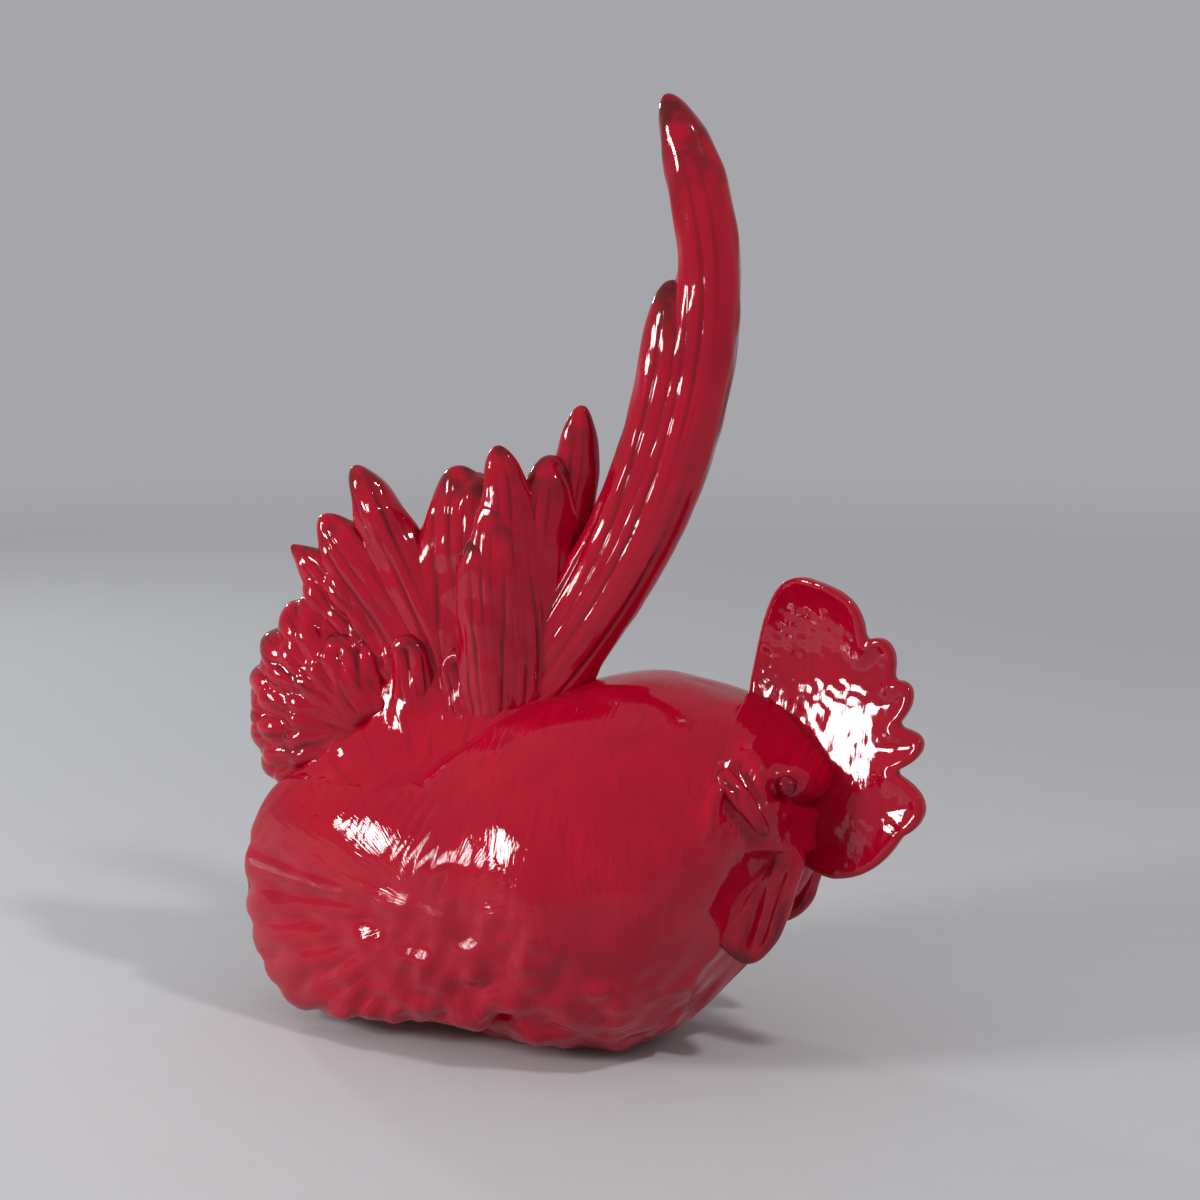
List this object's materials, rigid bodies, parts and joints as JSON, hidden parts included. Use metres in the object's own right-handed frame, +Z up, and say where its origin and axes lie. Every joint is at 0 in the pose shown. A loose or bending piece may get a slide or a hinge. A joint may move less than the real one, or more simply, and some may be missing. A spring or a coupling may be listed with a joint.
{
  "type": "ceramic rooster figure",
  "caption": "Crouching rooster ornament in glossy crimson glazed ceramic, with a fanned tail, a tall curved sickle feather and a broad scalloped comb.",
  "frame": {"origin": "centre of the bounding box on the surface that the figure stands on", "axes": "+X toward the head and comb, +Y to the rooster's left, +Z up"},
  "size_m": [0.3109, 0.1484, 0.399],
  "materials": {
    "crimson_glaze": "high gloss glaze",
    "deep_crimson_glaze": "high gloss glaze"
  },
  "bodies": {
    "root": {"body_shell": "crimson_glaze", "tail_mound": "crimson_glaze", "wing_right": "crimson_glaze", "wing_left": "crimson_glaze", "comb": "crimson_glaze", "wattle_right": "crimson_glaze", "wattle_left": "crimson_glaze", "ear_right": "crimson_glaze", "ear_left": "crimson_glaze", "eye_right": "deep_crimson_glaze", "eye_left": "deep_crimson_glaze", "sickle_long": "crimson_glaze", "sickle_short": "crimson_glaze", "plume_1": "crimson_glaze", "plume_2": "crimson_glaze", "plume_3": "crimson_glaze", "plume_4": "crimson_glaze", "plume_5": "crimson_glaze", "plume_6": "crimson_glaze", "rump_1": "crimson_glaze", "rump_2": "crimson_glaze", "rump_3": "crimson_glaze", "rump_4": "crimson_glaze", "rump_5": "crimson_glaze", "covert_right_1": "crimson_glaze", "covert_right_2": "crimson_glaze", "covert_right_3": "crimson_glaze", "covert_right_4": "crimson_glaze", "covert_right_5": "crimson_glaze", "covert_right_6": "crimson_glaze", "covert_right_7": "crimson_glaze", "covert_right_8": "crimson_glaze", "covert_right_9": "crimson_glaze", "covert_left_1": "crimson_glaze", "covert_left_2": "crimson_glaze", "covert_left_3": "crimson_glaze", "covert_left_4": "crimson_glaze", "covert_left_5": "crimson_glaze", "covert_left_6": "crimson_glaze", "covert_left_7": "crimson_glaze", "covert_left_8": "crimson_glaze", "covert_left_9": "crimson_glaze"}
  },
  "joints": []
}
